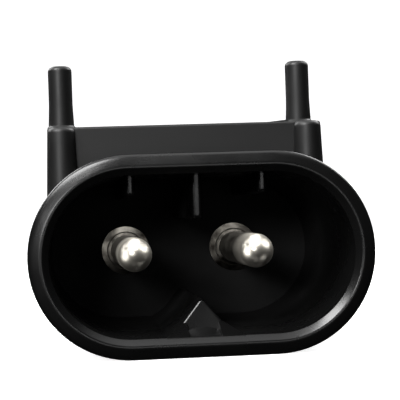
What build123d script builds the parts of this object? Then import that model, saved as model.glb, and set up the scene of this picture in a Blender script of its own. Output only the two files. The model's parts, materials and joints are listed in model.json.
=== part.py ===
from build123d import *
import math
import os

# Two-pin male power connector with a moulded obround shroud.
# It is modelled from its mouth: X to the right, Y into the socket, Z up.
# The rim lies in the plane y = 0 and both contacts lie on z = 0.
# The last step moves it so that it stands on z = 0, centred over the origin.
# All sizes are in millimetres and all angles in degrees.

# Shroud, the obround tube round the contacts
shroud_width = 23.4
shroud_height = 13.7
rim_wall = 1.38
wall_draft = 0.5
socket_depth = 19.0
floor_thickness = 2.2
rim_slope_width = 0.78
rim_slope_depth = 0.3
rim_lead_in = 0.4
rear_bevel = 0.4

# Polarising key along the lower wall
key_peak_height = 2.48
key_foot_width = 5.3
key_waist_width = 2.76
key_waist_height = 0.82
key_crest_round = 0.3
key_setback = 2.6
key_front_lean = 12.0
key_edge_round = 0.2

# Lead-in between the mouth and the front of the key
ramp_start = 0.35
ramp_channel_width = 2.2
ramp_crown_height = 0.5
ramp_crown_radius = 3.1

# Ribs that hang from the upper wall
rib_front = 3.8
middle_rib_width = 0.8
middle_rib_drop = 3.1
side_rib_width = 0.75
side_rib_drop = 1.42
side_rib_offset = 4.6
rib_round = 0.3

# Mounting bracket across the back of the shroud
bracket_width = 20.3
bracket_top = 9.4
bracket_front = 10.7
bracket_thickness = 6.6
bracket_draft = 2.0
bracket_edge_round = 0.2
bracket_corner_round = 0.6

# Half-round pilasters on the bracket's front corners
pilaster_radius = 1.0
pilaster_top_round = 0.45

# Locating posts on the bracket
post_height = 4.8
post_radius = 0.9
post_foot_radius = 0.97
post_taper_length = 1.9
post_tip_round = 0.4
post_flare = 0.3
post_side_inset = 0.1

# Low web that runs up to the foot of the right post
web_length = 3.2
web_rise = 0.3
web_thickness = 1.2

# Turned contacts
contact_pitch = 8.6
contact_diameter = 2.4
contact_reach = 14.5
collar_diameter = 3.8
collar_height = 0.6
collar_bevel = 0.4
collar_root_bevel = 0.2
tail_diameter = 1.6
tail_length = 4.8
tail_bevel = 0.2

# How far ribs, key and posts run into the walls that carry them
root_sink = 0.4

# Places that follow from the sizes above
shroud_depth = socket_depth + floor_thickness
overall_depth = shroud_depth + tail_length
upper_wall = shroud_height / 2 - rim_wall
lower_wall = -upper_wall
wall_lean = socket_depth * math.tan(math.radians(wall_draft))
bracket_rear = bracket_front + bracket_thickness
bracket_spread = bracket_top * math.tan(math.radians(bracket_draft))
pilaster_x = bracket_width / 2 - pilaster_radius
post_x = bracket_width / 2 - post_foot_radius - post_side_inset
post_y = bracket_front + bracket_thickness / 2
contact_radius = contact_diameter / 2
to_stand = Pos(0, -overall_depth / 2, shroud_height / 2)
diagonal = math.sqrt(0.5)


def across(depth):
    """The plane across the socket at a depth. Extrusions from it run to the mouth."""
    return Plane.XZ.offset(-depth)


def shroud_body():
    """The full obround. Its rim slopes back towards the outside and its rear edge is bevelled."""
    body = extrude(across(shroud_depth) * SlotOverall(shroud_width, shroud_height), shroud_depth)
    front = body.faces().sort_by(Axis.Y)[0]
    body = chamfer(front.edges(), rim_slope_width, rim_slope_depth, reference=front)
    return chamfer(body.edges().group_by(Axis.Y)[-1], rear_bevel)


def socket_cavity():
    """The drafted hollow, widest at the mouth."""
    narrowing = 2 * (rim_wall + wall_lean)
    outline = SlotOverall(shroud_width - narrowing, shroud_height - narrowing)
    return extrude(across(socket_depth) * outline, socket_depth, taper=-wall_draft)


def bracket():
    """The saddle block that sits on the shroud and carries the posts."""
    half_top = bracket_width / 2
    half_base = half_top + bracket_spread
    outline = Polygon(
        (-half_base, 0),
        (half_base, 0),
        (half_top, bracket_top),
        (-half_top, bracket_top),
        align=None,
    )
    block = extrude(across(bracket_rear) * outline, bracket_thickness)
    rear_corners = block.edges().group_by(Axis.Y)[-1].sort_by(Axis.Z)[1:-1]
    block = fillet(rear_corners, bracket_corner_round)
    return fillet(block.edges().group_by(Axis.Z)[-1], bracket_edge_round)


def pilaster(side):
    """A round column on a front corner, half sunk in the bracket and drafted with it."""
    base = Pos(side * pilaster_x, bracket_front) * Circle(pilaster_radius + bracket_spread)
    column = extrude(base, bracket_top, taper=bracket_draft)
    return fillet(column.edges().group_by(Axis.Z)[-1], pilaster_top_round)


def post(side):
    """A tapered foot with a flared root, a straight locating length and a rounded tip."""
    root_radius = post_foot_radius + post_flare
    tip_flat = post_radius - post_tip_round
    tip_start = post_height - post_tip_round
    profile = make_face(
        [
            Polyline(
                (0, -root_sink),
                (root_radius, -root_sink),
                (root_radius, 0),
                (post_foot_radius, post_flare),
                (post_radius, post_taper_length),
                (post_radius, tip_start),
            ),
            ThreePointArc(
                (post_radius, tip_start),
                (tip_flat + post_tip_round * diagonal, tip_start + post_tip_round * diagonal),
                (tip_flat, post_height),
            ),
            Polyline(
                (tip_flat, post_height),
                (0, post_height),
                (0, -root_sink),
            ),
        ]
    )
    turned = Pos(side * post_x, post_y, bracket_top) * revolve(Plane.XZ * profile, Axis.Z)
    bracket_plan = Pos(0, post_y) * Rectangle(bracket_width, bracket_thickness)
    return turned & extrude(bracket_plan, bracket_top + post_height)


def right_web():
    """The low wedge that runs along the bracket's top to the right post."""
    wedge = Polygon(
        (post_x - post_radius - web_length, bracket_top),
        (post_x - post_radius - web_length, bracket_top - root_sink),
        (post_x, bracket_top - root_sink),
        (post_x, bracket_top + web_rise),
        (post_x - post_radius, bracket_top + web_rise),
        align=None,
    )
    return extrude(across(post_y + web_thickness / 2) * wedge, web_thickness)


def along_lower_wall(profile, front):
    """A profile that stands on the lower wall, run from a depth to the floor."""
    place = across(socket_depth + root_sink) * Pos(0, lower_wall)
    return extrude(place * profile, socket_depth + root_sink - front)


def key_foot_profile():
    """The flared foot of the key, up to its waist."""
    foot = key_foot_width / 2
    waist = key_waist_width / 2
    return Polygon(
        (-foot, -root_sink),
        (foot, -root_sink),
        (foot, 0),
        (waist, key_waist_height),
        (-waist, key_waist_height),
        (-foot, 0),
        align=None,
    )


def key_front():
    """The plane of the key's front, which leans back from the waist. It faces into the socket."""
    lean = math.radians(key_front_lean)
    return Plane(
        origin=(0, key_setback, lower_wall + key_waist_height),
        x_dir=(1, 0, 0),
        z_dir=(0, math.cos(lean), -math.sin(lean)),
    )


def key_foot():
    """The key's foot behind its front."""
    return split(along_lower_wall(key_foot_profile(), 0), bisect_by=key_front(), keep=Keep.TOP)


def key_crest():
    """The steep crest of the key. Its front leans back and has rounded edges."""
    flare = key_waist_width / 2 / (key_peak_height - key_waist_height)
    base = flare * (key_peak_height + root_sink)
    profile = Polygon((-base, -root_sink), (base, -root_sink), (0, key_peak_height), align=None)
    profile = fillet(profile.vertices().sort_by(Axis.Y)[-1], key_crest_round)
    crest = split(along_lower_wall(profile, 0), bisect_by=key_front(), keep=Keep.TOP)
    front_edges = crest.faces().sort_by(Axis.Y)[0].edges().sort_by(Axis.Z)
    return fillet(front_edges[1:], key_edge_round)


def key_lead_in():
    """The two flanks of the foot, which run down to the mouth on each side of a channel."""
    rise = math.atan2(key_waist_height, key_setback - ramp_start)
    slope = Plane(
        origin=(0, ramp_start, lower_wall),
        x_dir=(1, 0, 0),
        z_dir=(0, -math.sin(rise), math.cos(rise)),
    )
    foot = along_lower_wall(key_foot_profile(), ramp_start)
    flanks = split(foot, bisect_by=slope, keep=Keep.BOTTOM)
    channel = Pos(0, 0, lower_wall) * Box(
        ramp_channel_width,
        2 * key_setback,
        key_waist_height,
        align=(Align.CENTER, Align.CENTER, Align.MIN),
    )
    return flanks - channel


def ramp_crown():
    """The low coned crown in the channel, which rises from the mouth to the front of the key."""
    place = Plane(
        origin=(0, ramp_start, lower_wall + ramp_crown_height - ramp_crown_radius),
        x_dir=(1, 0, 0),
        z_dir=(0, 1, 0),
    )
    cone = Cone(
        ramp_crown_radius - ramp_crown_height,
        ramp_crown_radius,
        key_setback - ramp_start,
        align=(Align.CENTER, Align.CENTER, Align.MIN),
    )
    above_wall = Pos(0, 0, lower_wall - root_sink) * Box(
        ramp_channel_width,
        2 * key_setback,
        key_peak_height,
        align=(Align.CENTER, Align.CENTER, Align.MIN),
    )
    return (place * cone) & above_wall


def rib(offset, width, drop):
    """A rib that hangs from the upper wall, rounded where it stands free."""
    length = socket_depth + root_sink - rib_front
    plate = Pos(offset, rib_front, upper_wall - drop) * Box(
        width,
        length,
        drop + root_sink,
        align=(Align.CENTER, Align.MIN, Align.MIN),
    )
    lower = plate.faces().sort_by(Axis.Z)[0].edges()
    front = plate.faces().sort_by(Axis.Y)[0].edges()
    rear_edge = lower.sort_by(Axis.Y)[-1]
    top_edge = front.sort_by(Axis.Z)[-1]
    held = (rear_edge, top_edge)
    free = [edge for edge in plate.edges() if edge in lower + front and edge not in held]
    return fillet(free, rib_round)


def contact_bore(side):
    """The hole through the floor that a contact's shank fills."""
    circle = Pos(side * contact_pitch / 2, 0) * Circle(contact_radius)
    return extrude(across(shroud_depth) * circle, floor_thickness)


def housing():
    """The one-piece moulding."""
    body = shroud_body() + bracket()
    for side in (-1, 1):
        body += pilaster(side)
        body += post(side)
    body += right_web()
    body -= socket_cavity()
    mouth_edges = body.faces().sort_by(Axis.Y)[0].inner_wires()[0].edges()
    body = chamfer(mouth_edges, rim_lead_in)
    body += key_crest()
    body += key_foot()
    body += key_lead_in()
    body += ramp_crown()
    body += rib(0, middle_rib_width, middle_rib_drop)
    for side in (-1, 1):
        body += rib(side * side_rib_offset, side_rib_width, side_rib_drop)
        body -= contact_bore(side)
    return body


def contact(side):
    """A turned contact: domed pin, coned collar, shank in the floor and tail."""
    tip = socket_depth - contact_reach
    collar_front = socket_depth - collar_height
    collar_radius = collar_diameter / 2
    tail_radius = tail_diameter / 2
    root = collar_root_bevel
    profile = make_face(
        [
            ThreePointArc(
                (0, tip),
                (contact_radius * diagonal, tip + contact_radius * (1 - diagonal)),
                (contact_radius, tip + contact_radius),
            ),
            Polyline(
                (contact_radius, tip + contact_radius),
                (contact_radius, collar_front - root),
                (contact_radius + root, collar_front),
                (collar_radius - collar_bevel, collar_front),
                (collar_radius, collar_front + collar_bevel),
                (collar_radius, socket_depth),
                (contact_radius, socket_depth),
                (contact_radius, shroud_depth),
                (tail_radius, shroud_depth),
                (tail_radius, overall_depth - tail_bevel),
                (tail_radius - tail_bevel, overall_depth),
                (0, overall_depth),
                (0, tip),
            ),
        ]
    )
    return Pos(side * contact_pitch / 2) * revolve(profile, Axis.Y)


os.makedirs("parts", exist_ok=True)
nodes = {
    "housing": housing(),
    "left_contact": contact(-1),
    "right_contact": contact(1),
}
for name, piece in nodes.items():
    export_step(to_stand * piece, f"parts/{name}.step")
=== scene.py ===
"""Dresses a two-pin male power connector: a black moulded housing, plated contacts and a plain studio."""
import json
import math

import bmesh
import bpy
import mathutils
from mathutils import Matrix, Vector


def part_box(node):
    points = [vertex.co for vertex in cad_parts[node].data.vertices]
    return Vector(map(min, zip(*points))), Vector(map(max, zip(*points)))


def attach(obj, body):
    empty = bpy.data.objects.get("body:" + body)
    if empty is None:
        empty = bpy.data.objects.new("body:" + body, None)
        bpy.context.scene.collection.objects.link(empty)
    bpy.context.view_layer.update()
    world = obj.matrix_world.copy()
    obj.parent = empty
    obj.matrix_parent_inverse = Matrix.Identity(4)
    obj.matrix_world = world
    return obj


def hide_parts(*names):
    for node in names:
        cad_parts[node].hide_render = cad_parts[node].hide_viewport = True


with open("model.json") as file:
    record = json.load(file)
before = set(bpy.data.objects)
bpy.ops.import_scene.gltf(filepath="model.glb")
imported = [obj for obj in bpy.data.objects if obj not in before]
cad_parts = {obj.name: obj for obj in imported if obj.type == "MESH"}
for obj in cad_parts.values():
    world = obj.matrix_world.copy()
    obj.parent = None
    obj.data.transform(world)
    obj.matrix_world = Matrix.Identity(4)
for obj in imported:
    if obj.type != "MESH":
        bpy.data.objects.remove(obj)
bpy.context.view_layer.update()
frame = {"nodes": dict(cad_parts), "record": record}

bl_info = {
    "name": "Two-Pin Connector",
    "version": (1, 0, 0),
    "blender": (4, 5, 0),
    "location": "3D View > Sidebar > Connector",
    "description": "Dresses a moulded two-pin power connector and its studio",
    "category": "Object",
}

MM = 0.001
BODY = "root"
SIDES = ("left", "right")
HOUSING_LOW, HOUSING_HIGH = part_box("housing")
CONTACT_LOW, CONTACT_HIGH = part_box("left_contact")
# Points closer than this are one point, which is far less than any detail.
MERGE_GAP = 0.0005 * MM
# Every softbox faces this point inside the socket, from this far away.
LAMP_TARGET = mathutils.Vector((0, -5, 8)) * MM
LAMP_DISTANCE = 330 * MM
# Name, azimuth, elevation and size in millimetres of each softbox, and the setting that holds its power.
SOFTBOXES = (
    ("key_softbox", -45, 50, (220, 140), "key_watts"),
    ("fill_softbox", -23, 13, (120, 50), "fill_watts"),
    ("rear_left_softbox", -140, 35, (160, 160), "rear_watts"),
    ("rear_right_softbox", 130, 40, (160, 160), "rear_watts"),
)
# The same of the softbox that lights the housing alone.
FRONT_SOFTBOX = ("front_softbox", 6, -1, (95, 50))
# The same of each softbox that lights the contacts alone, and its share of their power.
CONTACT_SOFTBOXES = (
    ("contact_top_softbox", -10, 60, (120, 120), 1.0),
    ("contact_rear_softbox", 180, 75, (120, 120), 1.0),
    ("contact_left_softbox", -80, 38, (120, 120), 1.0),
    ("contact_right_softbox", 80, 38, (120, 120), 0.9),
    ("contact_side_softbox", -74, -6, (120, 120), 0.5),
    ("contact_low_softbox", 0, -85, (120, 120), 0.03),
)
NYLON_IOR = 1.53
# A wave texture at a scale of 1 repeats after this length.
WAVE_LENGTH = 2 * math.pi / 20
# Places of a Mix node's sockets, whose names repeat for each type of data.
MIX_FACTOR, MIX_NUMBER_A, MIX_NUMBER_B, MIX_COLOUR_A, MIX_COLOUR_B = 0, 2, 3, 6, 7
MIXED_NUMBER, MIXED_COLOUR = 0, 2


def linear(hex_colour):
    """An sRGB hex colour as linear red, green and blue."""
    values = [int(hex_colour[i:i + 2], 16) / 255 for i in (1, 3, 5)]
    return tuple(v / 12.92 if v <= 0.04045 else ((v + 0.055) / 1.055) ** 2.4 for v in values)


def mount(name):
    """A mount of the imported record, which gives a mating size and its place."""
    return next(m for m in frame["record"]["mounts"] if m["name"] == name)


# The shroud rests on its lower wall, so the contacts' axes lie one radius of its round ends above z = 0.
SHROUD_RADIUS = mount("left_contact")["pos_m"][2]


def per_mm(size):
    """The scale of a pattern on object coordinates whose features are this many millimetres wide."""
    return 1 / (size * MM)


def node(tree, kind, inputs=None, **settings):
    """Adds a node, with its settings and with each input set to a value or linked to a socket."""
    made = tree.nodes.new(kind)
    for name, value in settings.items():
        setattr(made, name, value)
    for key, value in (inputs or {}).items():
        if isinstance(value, bpy.types.NodeSocket):
            tree.links.new(value, made.inputs[key])
        else:
            made.inputs[key].default_value = value
    return made


class HousingLook(bpy.types.PropertyGroup):
    """The moulded housing's colour and surface."""

    colour: bpy.props.FloatVectorProperty(
        name="Colour", description="Body colour of the nylon", subtype="COLOR",
        size=3, min=0, max=1, default=linear("#0e0e0e"))
    matt_colour: bpy.props.FloatVectorProperty(
        name="Matt colour", description="Colour of the bracket and the posts, which the texture greys",
        subtype="COLOR", size=3, min=0, max=1, default=linear("#131313"))
    polished_roughness: bpy.props.FloatProperty(
        name="Polished roughness", description="Roughness of the shroud's front, round the mouth",
        subtype="FACTOR", min=0, max=1, default=0.27)
    dull_roughness: bpy.props.FloatProperty(
        name="Dull roughness", description="Roughness of the shroud behind its front, inside and out",
        subtype="FACTOR", min=0, max=1, default=0.8)
    matt_roughness: bpy.props.FloatProperty(
        name="Matt roughness", description="Roughness of the bracket and the posts",
        subtype="FACTOR", min=0, max=1, default=0.46)
    polished_to: bpy.props.FloatProperty(
        name="Polished to", description="Depth from which the shroud's gloss fades",
        unit="LENGTH", precision=6, default=-7.0 * MM)
    dull_from: bpy.props.FloatProperty(
        name="Dull from", description="Depth from which the shroud is fully dull",
        unit="LENGTH", precision=6, default=-1.0 * MM)
    texture_mm: bpy.props.FloatProperty(
        name="Texture", description="Width of the mould's fine texture, in millimetres", default=0.16)
    texture_depth: bpy.props.FloatProperty(
        name="Texture depth", description="Height of the mould's fine texture",
        unit="LENGTH", precision=6, default=0.006 * MM)
    texture_start: bpy.props.FloatProperty(
        name="Texture start", description="How far outside the shroud the matt texture begins",
        unit="LENGTH", precision=6, default=0.03 * MM)
    texture_full: bpy.props.FloatProperty(
        name="Texture full", description="How far outside the shroud the matt texture is full",
        unit="LENGTH", precision=6, default=0.2 * MM)
    flow_mm: bpy.props.FloatProperty(
        name="Flow", description="Width of the flow marks of the melt, in millimetres", default=3.5)
    flow_waver: bpy.props.FloatProperty(
        name="Flow waver", description="How much the flow marks raise or lower the roughness", default=0.05)
    smooth_angle: bpy.props.FloatProperty(
        name="Smooth angle", description="Edges sharper than this stay sharp",
        subtype="ANGLE", default=math.radians(32))
    slope_depth: bpy.props.FloatProperty(
        name="Slope depth", description="How far back the rim's outer edge lies",
        unit="LENGTH", precision=6, default=0.3 * MM)
    outer_round: bpy.props.FloatProperty(
        name="Outer round", description="Round on the rim's outer edge",
        unit="LENGTH", precision=6, default=0.22 * MM)
    crest_round: bpy.props.FloatProperty(
        name="Crest round", description="Round on both edges of the rim's crest",
        unit="LENGTH", precision=6, default=0.07 * MM)


class ContactLook(bpy.types.PropertyGroup):
    """A turned contact's sizes and finish."""

    pin_radius: bpy.props.FloatProperty(
        name="Pin radius", description="Radius of the mating pin", unit="LENGTH", precision=6,
        default=mount("left_contact")["dims"]["r_mm"] * MM)
    collar_radius: bpy.props.FloatProperty(
        name="Collar radius", description="Radius of the collar on the socket's floor",
        unit="LENGTH", precision=6, default=(CONTACT_HIGH.x - CONTACT_LOW.x) / 2)
    collar_height: bpy.props.FloatProperty(
        name="Collar height", description="Height of the collar above the floor",
        unit="LENGTH", precision=6, default=0.6 * MM)
    collar_bevel: bpy.props.FloatProperty(
        name="Collar bevel", description="Bevel round the collar's front",
        unit="LENGTH", precision=6, default=0.4 * MM)
    root_bevel: bpy.props.FloatProperty(
        name="Root bevel", description="Bevel between pin and collar",
        unit="LENGTH", precision=6, default=0.2 * MM)
    edge_round: bpy.props.FloatProperty(
        name="Edge round", description="Round that deburring and plating leave on the other edges",
        unit="LENGTH", precision=6, default=0.05 * MM)
    floor_thickness: bpy.props.FloatProperty(
        name="Floor thickness", description="Length of the shank in the socket's floor",
        unit="LENGTH", precision=6, default=2.2 * MM)
    tail_radius: bpy.props.FloatProperty(
        name="Tail radius", description="Radius of the solder tail",
        unit="LENGTH", precision=6, default=0.8 * MM)
    tail_bevel: bpy.props.FloatProperty(
        name="Tail bevel", description="Bevel on the tail's end",
        unit="LENGTH", precision=6, default=0.2 * MM)
    facets: bpy.props.IntProperty(
        name="Facets", description="Sides round a turned piece", default=96)
    round_steps: bpy.props.IntProperty(
        name="Round steps", description="Points along each rounded corner", default=12)
    smooth_angle: bpy.props.FloatProperty(
        name="Smooth angle", description="Edges sharper than this stay sharp",
        subtype="ANGLE", default=math.radians(30))
    plating: bpy.props.FloatVectorProperty(
        name="Plating", description="Colour of the nickel plating", subtype="COLOR",
        size=3, min=0, max=1, default=linear("#d9d4c8"))
    # The colour deep in the socket: real tarnish, made darker with painted shade for the little light that
    # reaches so deep.
    tarnish_and_shade: bpy.props.FloatVectorProperty(
        name="Tarnish", description="Colour of the tarnished metal deep in the socket", subtype="COLOR",
        size=3, min=0, max=1, default=linear("#13100d"))
    wiped_to: bpy.props.FloatProperty(
        name="Wiped to", description="Depth to which the plug wipes the pin bright",
        unit="LENGTH", precision=6, default=-7.4 * MM)
    # The depth where the tarnish and its painted shade are full.
    tarnish_and_shade_from: bpy.props.FloatProperty(
        name="Tarnished from", description="Depth from which the metal is fully tarnished",
        unit="LENGTH", precision=6, default=-3.0 * MM)
    bright_roughness: bpy.props.FloatProperty(
        name="Bright roughness", description="Roughness of the wiped tip",
        subtype="FACTOR", min=0, max=1, default=0.28)
    tarnish_roughness: bpy.props.FloatProperty(
        name="Tarnish roughness", description="Roughness of the tarnished metal",
        subtype="FACTOR", min=0, max=1, default=0.34)
    stain_mm: bpy.props.FloatProperty(
        name="Stain", description="Width of the tarnish's stains, in millimetres", default=0.9)
    turning_mm: bpy.props.FloatProperty(
        name="Turning marks", description="Pitch of the lathe's marks, in millimetres", default=0.237)
    turning_depth: bpy.props.FloatProperty(
        name="Turning depth", description="Depth of the lathe's marks",
        unit="LENGTH", precision=6, default=0.003 * MM)


class StudioLook(bpy.types.PropertyGroup):
    """The floor, the lights and the camera."""

    floor_colour: bpy.props.FloatVectorProperty(
        name="Floor colour", description="Colour of the sweep", subtype="COLOR",
        size=3, min=0, max=1, default=linear("#f4f4f4"))
    floor_glow: bpy.props.FloatProperty(
        name="Floor glow", description="Strength of the light that comes through the sweep", default=1.0)
    floor_reach: bpy.props.FloatProperty(
        name="Floor reach", description="How far the floor runs from the part",
        unit="LENGTH", default=0.6)
    sweep_radius: bpy.props.FloatProperty(
        name="Sweep radius", description="Radius of the bend between floor and wall",
        unit="LENGTH", default=0.2)
    room: bpy.props.FloatProperty(
        name="Room", description="Brightness of the dark room below the ceiling", default=0.02)
    ceiling: bpy.props.FloatProperty(
        name="Ceiling", description="Brightness of the ceiling", default=1.7)
    ceiling_start: bpy.props.FloatProperty(
        name="Ceiling start", description="Height over the horizon where the ceiling's light begins",
        subtype="ANGLE", default=math.radians(43))
    ceiling_full: bpy.props.FloatProperty(
        name="Ceiling full", description="Height over the horizon where the ceiling is at its brightest",
        subtype="ANGLE", default=math.radians(85))
    key_watts: bpy.props.FloatProperty(
        name="Key light", description="Power of the main softbox", unit="POWER", default=1.55)
    fill_watts: bpy.props.FloatProperty(
        name="Fill light", description="Power of the low softbox in front", unit="POWER", default=0.28)
    front_watts: bpy.props.FloatProperty(
        name="Front light", description="Power of the small softbox in front that lights the housing alone",
        unit="POWER", default=0.036)
    rear_watts: bpy.props.FloatProperty(
        name="Rear lights", description="Power of each softbox behind the part", unit="POWER", default=0.5)
    contact_watts: bpy.props.FloatProperty(
        name="Contact light", description="Power of the top softbox that lights the contacts alone",
        unit="POWER", default=3.5)
    camera_place: bpy.props.FloatVectorProperty(
        name="Camera place", description="Where the camera stands", subtype="TRANSLATION",
        size=3, unit="LENGTH", precision=5, default=(-9.62 * MM, -105.47 * MM, 9.77 * MM))
    camera_turn: bpy.props.FloatVectorProperty(
        name="Camera turn", description="How the camera is turned", subtype="EULER", size=3,
        default=(math.radians(90.4506), math.radians(1.9646), math.radians(-5.8229)))
    lens_mm: bpy.props.FloatProperty(
        name="Lens", description="Focal length in millimetres on a 36 mm sensor", default=126.0)


def shroud_reach(tree, axes):
    """How far a point lies from the line that joins the centres of the shroud's round ends."""
    across = node(tree, "ShaderNodeMath", {0: axes["X"]}, operation="ABSOLUTE").outputs["Value"]
    past_flat = node(tree, "ShaderNodeMath", {
        0: across, 1: HOUSING_HIGH.x - SHROUD_RADIUS}, operation="SUBTRACT").outputs["Value"]
    aside = node(tree, "ShaderNodeMath", {0: past_flat, 1: 0.0}, operation="MAXIMUM").outputs["Value"]
    above = node(tree, "ShaderNodeMath", {
        0: axes["Z"], 1: SHROUD_RADIUS}, operation="SUBTRACT").outputs["Value"]
    from_middle = node(tree, "ShaderNodeCombineXYZ", {"X": aside, "Z": above}).outputs["Vector"]
    return node(tree, "ShaderNodeVectorMath", {0: from_middle}, operation="LENGTH").outputs["Value"]


def moulded_black_nylon(look):
    """Injection-moulded nylon, black: a dielectric with a soft sheen from a finely textured mould."""
    material = bpy.data.materials.new("moulded_black_nylon")
    material.use_nodes = True
    tree = material.node_tree
    tree.nodes.clear()
    place = node(tree, "ShaderNodeTexCoord").outputs["Object"]
    # Fine spark texture of the mould, which breaks up the gloss. It is drawn coarse enough to show.
    spark = node(tree, "ShaderNodeTexNoise", {
        "Vector": place, "Scale": per_mm(look.texture_mm), "Detail": 3.0, "Roughness": 0.6})
    # Slow flow of the melt, a few millimetres wide, that changes the gloss a little.
    flow = node(tree, "ShaderNodeTexNoise", {
        "Vector": place, "Scale": per_mm(look.flow_mm), "Detail": 4.0, "Roughness": 0.55})
    axes = node(tree, "ShaderNodeSeparateXYZ", {"Vector": place}).outputs
    # All that stands out from the shroud is cut by spark erosion, whose texture greys the plastic.
    matt = node(tree, "ShaderNodeMapRange", {
        "Value": shroud_reach(tree, axes), "From Min": SHROUD_RADIUS + look.texture_start,
        "From Max": SHROUD_RADIUS + look.texture_full}).outputs["Result"]
    colour = node(tree, "ShaderNodeMix", {
        MIX_FACTOR: matt, MIX_COLOUR_A: (*look.colour, 1), MIX_COLOUR_B: (*look.matt_colour, 1)},
        data_type="RGBA")
    # The mould is polished round the mouth, and left dull behind it and deep in the socket.
    gloss = node(tree, "ShaderNodeMapRange", {
        "Value": axes["Y"], "From Min": look.polished_to, "From Max": look.dull_from,
        "To Min": look.polished_roughness, "To Max": look.dull_roughness})
    sheen = node(tree, "ShaderNodeMix", {
        MIX_FACTOR: matt, MIX_NUMBER_A: gloss.outputs["Result"], MIX_NUMBER_B: look.matt_roughness},
        data_type="FLOAT")
    waver = node(tree, "ShaderNodeMapRange", {
        "Value": flow.outputs["Fac"], "From Min": 0.3, "From Max": 0.7,
        "To Min": -look.flow_waver, "To Max": look.flow_waver})
    rough = node(tree, "ShaderNodeMath", {
        0: sheen.outputs[MIXED_NUMBER], 1: waver.outputs["Result"]}, operation="ADD")
    bump = node(tree, "ShaderNodeBump", {
        "Height": spark.outputs["Fac"], "Strength": 0.5, "Distance": look.texture_depth})
    shader = node(tree, "ShaderNodeBsdfPrincipled", {
        "Base Color": colour.outputs[MIXED_COLOUR], "Roughness": rough.outputs["Value"],
        "IOR": NYLON_IOR, "Normal": bump.outputs["Normal"]})
    node(tree, "ShaderNodeOutputMaterial", {"Surface": shader.outputs["BSDF"]})
    return material


def turned_nickel_plate(look):
    """Brass turned on a lathe and nickel plated: bright at the tip, and towards the floor tarnished brown
    and darkened with painted shade.
    """
    material = bpy.data.materials.new("turned_nickel_plate")
    material.use_nodes = True
    tree = material.node_tree
    tree.nodes.clear()
    place = node(tree, "ShaderNodeTexCoord").outputs["Object"]
    # Lathe marks run round the pin, so they vary along the depth. They are drawn coarse enough to show.
    marks = node(tree, "ShaderNodeTexWave", {
        "Vector": place, "Scale": per_mm(look.turning_mm) * WAVE_LENGTH, "Distortion": 0.6,
        "Detail": 2.0, "Detail Scale": 1.5}, wave_type="BANDS", bands_direction="Y")
    stain = node(tree, "ShaderNodeTexNoise", {
        "Vector": place, "Scale": per_mm(look.stain_mm), "Detail": 4.0, "Roughness": 0.6})
    depth = node(tree, "ShaderNodeSeparateXYZ", {"Vector": place}).outputs["Y"]
    # The plug wipes the tip bright. Deeper in the socket the metal tarnishes and is darkened with painted
    # shade, for the little light that reaches so deep.
    depth_darkening = node(tree, "ShaderNodeMapRange", {
        "Value": depth, "From Min": look.wiped_to, "From Max": look.tarnish_and_shade_from,
        "To Min": 0.0, "To Max": 1.0})
    uneven = node(tree, "ShaderNodeMapRange", {
        "Value": stain.outputs["Fac"], "From Min": 0.35, "From Max": 0.65, "To Min": 0.9, "To Max": 1.0})
    # How far the plating gives way to tarnish and painted shade, uneven where the tarnish stains.
    tarnish_and_shade = node(tree, "ShaderNodeMath", {
        0: depth_darkening.outputs["Result"], 1: uneven.outputs["Result"]}, operation="MULTIPLY")
    colour = node(tree, "ShaderNodeMix", {
        MIX_FACTOR: tarnish_and_shade.outputs["Value"], MIX_COLOUR_A: (*look.plating, 1),
        MIX_COLOUR_B: (*look.tarnish_and_shade, 1)}, data_type="RGBA")
    rough = node(tree, "ShaderNodeMapRange", {
        "Value": tarnish_and_shade.outputs["Value"],
        "To Min": look.bright_roughness, "To Max": look.tarnish_roughness})
    bump = node(tree, "ShaderNodeBump", {
        "Height": marks.outputs["Fac"], "Strength": 0.25, "Distance": look.turning_depth})
    shader = node(tree, "ShaderNodeBsdfPrincipled", {
        "Base Color": colour.outputs[MIXED_COLOUR], "Metallic": 1.0, "Roughness": rough.outputs["Result"],
        "Normal": bump.outputs["Normal"]})
    node(tree, "ShaderNodeOutputMaterial", {"Surface": shader.outputs["BSDF"]})
    return material


def backlit_opal_acrylic(look):
    """Cast opal acrylic, lit from behind as in a light tent: it stays nearly white, with a faint shadow."""
    material = bpy.data.materials.new("backlit_opal_acrylic")
    material.use_nodes = True
    shader = material.node_tree.nodes["Principled BSDF"]
    shader.inputs["Base Color"].default_value = (*look.floor_colour, 1)
    shader.inputs["Roughness"].default_value = 0.9
    shader.inputs["Emission Color"].default_value = (*look.floor_colour, 1)
    shader.inputs["Emission Strength"].default_value = look.floor_glow
    return material


def show(name, mesh):
    """Puts a mesh in the scene as an object at the origin."""
    piece = bpy.data.objects.new(name, mesh)
    bpy.context.scene.collection.objects.link(piece)
    return piece


def baked(piece, name):
    """The piece's mesh with its modifiers applied, as a plain object."""
    evaluated = piece.evaluated_get(bpy.context.evaluated_depsgraph_get())
    mesh = bpy.data.meshes.new_from_object(evaluated)
    bpy.data.objects.remove(piece)
    mesh.name = name
    return show(name, mesh)


def merge_points(mesh, turn_outwards=False):
    """Merges points that coincide and, where asked, turns the faces outwards."""
    work = bmesh.new()
    work.from_mesh(mesh)
    bmesh.ops.remove_doubles(work, verts=work.verts, dist=MERGE_GAP)
    if turn_outwards:
        bmesh.ops.recalc_face_normals(work, faces=work.faces)
    work.to_mesh(mesh)
    work.free()


def ring(work, depth):
    """The edges that run round the rim at a depth behind its front, where its faces meet at an angle."""
    place = HOUSING_LOW.y + depth
    least_angle = math.radians(15)
    return [edge for edge in work.edges
            if all(abs(point.co.y - place) < 2 * MERGE_GAP for point in edge.verts)
            and edge.calc_face_angle(0) > least_angle]


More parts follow.
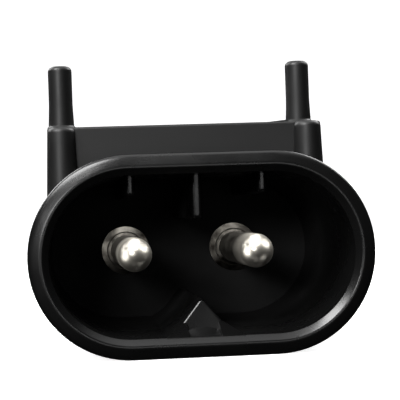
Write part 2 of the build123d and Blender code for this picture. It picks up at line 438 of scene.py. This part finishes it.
def round_rim(mesh, look):
    """Rounds the rim's outer edge and crest, so that they catch the light as moulded edges do."""
    work = bmesh.new()
    work.from_mesh(mesh)
    for depth, radius in ((look.slope_depth, look.outer_round), (0.0, look.crest_round)):
        bmesh.ops.bevel(work, geom=ring(work, depth), offset=radius, segments=3, profile=0.5,
                        affect="EDGES", clamp_overlap=True)
    work.to_mesh(mesh)
    work.free()


def dressed_housing(look):
    """The housing's own mesh with its facets joined and its rounds shaded smooth."""
    mesh = frame["nodes"]["housing"].data.copy()
    # The loose facets come with normals of their own, which would outlast the merge.
    for stale in ("custom_normal", "sharp_edge", "sharp_face"):
        if stale in mesh.attributes:
            mesh.attributes.remove(mesh.attributes[stale])
    merge_points(mesh)
    round_rim(mesh, look)
    mesh.shade_smooth()
    mesh.set_sharp_from_angle(angle=look.smooth_angle)
    mesh.materials.clear()
    mesh.materials.append(moulded_black_nylon(look))
    piece = show("housing_blank", mesh)
    even = piece.modifiers.new("even_shading", "WEIGHTED_NORMAL")
    even.keep_sharp = True
    return baked(piece, "moulded_housing")


def contact_profile(look):
    """Radius, depth and corner round of each point of a contact's outline, from tip to tail."""
    tip, end = CONTACT_LOW.y, CONTACT_HIGH.y
    floor_rear = HOUSING_HIGH.y
    floor_front = floor_rear - look.floor_thickness
    collar_front = floor_front - look.collar_height
    collar, pin, tail, edge = look.collar_radius, look.pin_radius, look.tail_radius, look.edge_round
    return [
        (0.0, tip, 0.0),
        (pin, tip, pin),
        (pin, collar_front - look.root_bevel, edge),
        (pin + look.root_bevel, collar_front, edge),
        (collar - look.collar_bevel, collar_front, edge),
        (collar, collar_front + look.collar_bevel, edge),
        (collar, floor_front, 0.0),
        (pin, floor_front, 0.0),
        (pin, floor_rear, 0.0),
        (tail, floor_rear, 0.0),
        (tail, end - look.tail_bevel, edge),
        (tail - look.tail_bevel, end, edge),
        (0.0, end, 0.0),
    ]


LATHE_INPUTS = (
    ("Outline", "NodeSocketGeometry"),
    ("Facets", "NodeSocketInt"),
    ("Round Steps", "NodeSocketInt"),
    ("Ring Radius", "NodeSocketFloat"),
    ("Place", "NodeSocketVector"),
    ("Finish", "NodeSocketMaterial"),
)


def lathe_tree():
    """Turns an outline of edges round an axis along Y, with rounds at the corners that ask for one."""
    tree = bpy.data.node_groups.new("turned_on_a_lathe", "GeometryNodeTree")
    for name, kind in LATHE_INPUTS:
        tree.interface.new_socket(name, in_out="INPUT", socket_type=kind)
    tree.interface.new_socket("Turned", in_out="OUTPUT", socket_type="NodeSocketGeometry")
    given = node(tree, "NodeGroupInput").outputs
    outline = node(tree, "GeometryNodeMeshToCurve", {"Mesh": given["Outline"]})
    corner = node(tree, "GeometryNodeInputNamedAttribute", {"Name": "round"}, data_type="FLOAT")
    rounded = node(tree, "GeometryNodeFilletCurve", {
        "Curve": outline.outputs["Curve"], "Radius": corner.outputs["Attribute"],
        "Count": given["Round Steps"], "Limit Radius": True}, mode="POLY")
    # The outline is swept round a small ring. It is set in by the ring's radius, to close on the axis.
    small_ring = node(tree, "GeometryNodeCurvePrimitiveCircle", {
        "Resolution": given["Facets"], "Radius": given["Ring Radius"]})
    swept = node(tree, "GeometryNodeCurveToMesh", {
        "Curve": small_ring.outputs["Curve"], "Profile Curve": rounded.outputs["Curve"]})
    closed = node(tree, "GeometryNodeMergeByDistance", {
        "Geometry": swept.outputs["Mesh"], "Distance": MERGE_GAP})
    # The sweep leaves the depth along -Z, so it is turned to run along +Y and moved to its place.
    placed = node(tree, "GeometryNodeTransform", {
        "Geometry": closed.outputs["Geometry"], "Translation": given["Place"],
        "Rotation": (math.pi / 2, 0, 0)})
    plain = node(tree, "GeometryNodeRealizeInstances", {"Geometry": placed.outputs["Geometry"]})
    finished = node(tree, "GeometryNodeSetMaterial", {
        "Geometry": plain.outputs["Geometry"], "Material": given["Finish"]})
    node(tree, "NodeGroupOutput", {"Turned": finished.outputs["Geometry"]})
    return tree


def give(modifier, **values):
    """Sets a node modifier's inputs, named in lower case with low lines, by their identifiers."""
    for item in modifier.node_group.interface.items_tree:
        key = item.name.lower().replace(" ", "_")
        if item.in_out == "INPUT" and key in values:
            modifier[item.identifier] = values[key]


def turned_contact(look, side, tree, finish):
    """One contact, turned from its outline."""
    low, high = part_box(f"{side}_contact")
    ring_radius = 0.01 * MM
    outline = contact_profile(look)
    mesh = bpy.data.meshes.new(f"{side}_outline")
    mesh.from_pydata(
        [(radius - ring_radius, depth, 0) for radius, depth, _ in outline],
        [(i, i + 1) for i in range(len(outline) - 1)], [])
    corner = mesh.attributes.new("round", "FLOAT", "POINT")
    for point, (_, _, radius) in zip(corner.data, outline):
        point.value = radius
    blank = show(f"{side}_blank", mesh)
    lathe = blank.modifiers.new("lathe", "NODES")
    lathe.node_group = tree
    give(lathe, facets=look.facets, round_steps=look.round_steps, ring_radius=ring_radius,
         place=((low.x + high.x) / 2, 0, (low.z + high.z) / 2), finish=finish)
    piece = baked(blank, f"turned_{side}_contact")
    merge_points(piece.data, turn_outwards=True)
    piece.data.shade_smooth()
    piece.data.set_sharp_from_angle(angle=look.smooth_angle)
    # Its own lamps make it far brighter than its surroundings, so its glow is kept off the black socket.
    piece.visible_diffuse = False
    piece.visible_glossy = False
    return piece


def sweep(look):
    """The pale sweep: a floor that bends up into a wall far behind the part."""
    reach, radius = look.floor_reach, look.sweep_radius
    steps = 24
    profile = [(-reach, 0.0)]
    for i in range(steps + 1):
        turn = math.radians(90) * i / steps
        profile.append((reach + radius * math.sin(turn), radius * (1 - math.cos(turn))))
    profile.append((reach + radius, 2 * reach))
    points = [(x, y, z) for x in (-2 * reach, 2 * reach) for y, z in profile]
    count = len(profile)
    faces = [(i, i + 1, count + i + 1, count + i) for i in range(count - 1)]
    mesh = bpy.data.meshes.new("pale_sweep")
    mesh.from_pydata(points, [], faces)
    mesh.shade_smooth()
    mesh.materials.append(backlit_opal_acrylic(look))
    floor = show("pale_sweep", mesh)
    # It is seen by the camera only, so that it doesn't wash out the black mouldings.
    floor.visible_diffuse = False
    floor.visible_glossy = False
    return floor


def studio_ceiling(look):
    """The light all round: a bright ceiling over a dark room."""
    world = bpy.data.worlds.new("studio_ceiling")
    world.use_nodes = True
    tree = world.node_tree
    tree.nodes.clear()
    direction = node(tree, "ShaderNodeTexCoord").outputs["Generated"]
    height = node(tree, "ShaderNodeSeparateXYZ", {"Vector": direction}).outputs["Z"]
    glow = node(tree, "ShaderNodeMapRange", {
        "Value": height, "From Min": math.sin(look.ceiling_start), "From Max": math.sin(look.ceiling_full),
        "To Min": look.room, "To Max": look.ceiling}, interpolation_type="SMOOTHSTEP")
    light = node(tree, "ShaderNodeBackground", {"Strength": glow.outputs["Result"]})
    node(tree, "ShaderNodeOutputWorld", {"Surface": light.outputs["Background"]})
    return world


def softbox(name, azimuth, elevation, size, watts):
    """A rectangular area light, which faces the part from a direction in degrees."""
    light = bpy.data.lights.new(name, "AREA")
    light.shape = "RECTANGLE"
    light.size, light.size_y = (side * MM for side in size)
    light.energy = watts
    lamp = bpy.data.objects.new(name, light)
    bpy.context.scene.collection.objects.link(lamp)
    turn, tilt = math.radians(azimuth), math.radians(elevation)
    # An azimuth of 0 stands in front of the mouth, and a positive one to its right.
    ray = mathutils.Vector((
        math.sin(turn) * math.cos(tilt), -math.cos(turn) * math.cos(tilt), math.sin(tilt)))
    lamp.location = LAMP_TARGET + ray * LAMP_DISTANCE
    lamp.rotation_euler = (-ray).to_track_quat("-Z", "Y").to_euler()
    return lamp


def only_for(lamp, pieces, shaded=False):
    """Lets a lamp light only the pieces given, and others cast a shadow on them only if shaded is true."""
    receivers = bpy.data.collections.new(f"{lamp.name}_receivers")
    for piece in pieces:
        receivers.objects.link(piece)
    lamp.light_linking.receiver_collection = receivers
    if not shaded:
        lamp.light_linking.blocker_collection = receivers


def studio_camera(look):
    """The camera, close in front of the mouth and a little to its left."""
    lens = bpy.data.cameras.new("camera")
    lens.lens = look.lens_mm
    lens.sensor_width = 36
    lens.clip_start = 1 * MM
    camera = bpy.data.objects.new("camera", lens)
    bpy.context.scene.collection.objects.link(camera)
    camera.location = look.camera_place
    camera.rotation_euler = look.camera_turn
    return camera


class CONNECTOR_OT_housing(bpy.types.Operator):
    """Dress the moulded housing in black nylon"""

    bl_idname = "connector.housing"
    bl_label = "Moulded Housing"

    def execute(self, context):
        piece = dressed_housing(context.scene.connector_housing)
        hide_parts("housing")
        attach(piece, BODY)
        return {"FINISHED"}


class CONNECTOR_OT_contacts(bpy.types.Operator):
    """Turn both contacts on a lathe and plate them"""

    bl_idname = "connector.contacts"
    bl_label = "Turned Contacts"

    def execute(self, context):
        look = context.scene.connector_contacts
        tree = lathe_tree()
        finish = turned_nickel_plate(look)
        for side in SIDES:
            piece = turned_contact(look, side, tree, finish)
            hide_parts(f"{side}_contact")
            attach(piece, BODY)
        return {"FINISHED"}


class CONNECTOR_OT_studio(bpy.types.Operator):
    """Set up the pale sweep, the soft lights and the camera"""

    bl_idname = "connector.studio"
    bl_label = "Studio"

    def execute(self, context):
        scene = context.scene
        look = scene.connector_studio
        sweep(look)
        scene.world = studio_ceiling(look)
        for name, azimuth, elevation, size, power in SOFTBOXES:
            softbox(name, azimuth, elevation, size, getattr(look, power))
        # It shows in what faces straight forward: the rim's crest and the fronts of the ribs.
        front = softbox(*FRONT_SOFTBOX, look.front_watts)
        only_for(front, [bpy.data.objects["moulded_housing"]], shaded=True)
        contacts = [bpy.data.objects[f"turned_{side}_contact"] for side in SIDES]
        for name, azimuth, elevation, size, share in CONTACT_SOFTBOXES:
            only_for(softbox(name, azimuth, elevation, size, look.contact_watts * share), contacts)
        scene.camera = studio_camera(look)
        scene.view_settings.view_transform = "Standard"
        return {"FINISHED"}


class CONNECTOR_PT_sidebar(bpy.types.Panel):
    """Lists what dresses the connector, with its sizes and colours"""

    bl_idname = "CONNECTOR_PT_sidebar"
    bl_label = "Two-Pin Connector"
    bl_space_type = "VIEW_3D"
    bl_region_type = "UI"
    bl_category = "Connector"

    def draw(self, context):
        for setting, _, operator in PARTS:
            box = self.layout.box()
            look = getattr(context.scene, setting)
            for name in look.bl_rna.properties.keys():
                if name not in ("rna_type", "name"):
                    box.prop(look, name)
            box.operator(operator.bl_idname)


PARTS = (
    ("connector_housing", HousingLook, CONNECTOR_OT_housing),
    ("connector_contacts", ContactLook, CONNECTOR_OT_contacts),
    ("connector_studio", StudioLook, CONNECTOR_OT_studio),
)
CLASSES = (*(cls for _, *pair in PARTS for cls in pair), CONNECTOR_PT_sidebar)


def register():
    """Registers the classes and puts each group of settings on the scene."""
    for cls in CLASSES:
        bpy.utils.register_class(cls)
    for setting, group, _ in PARTS:
        setattr(bpy.types.Scene, setting, bpy.props.PointerProperty(type=group))


def unregister():
    """Takes the settings off the scene and unregisters the classes."""
    for setting, _, _ in PARTS:
        delattr(bpy.types.Scene, setting)
    for cls in reversed(CLASSES):
        bpy.utils.unregister_class(cls)


def main():
    """Makes every piece and the studio."""
    register()
    bpy.ops.connector.housing()
    bpy.ops.connector.contacts()
    bpy.ops.connector.studio()
    bpy.context.view_layer.update()


if __name__ == "__main__":
    main()
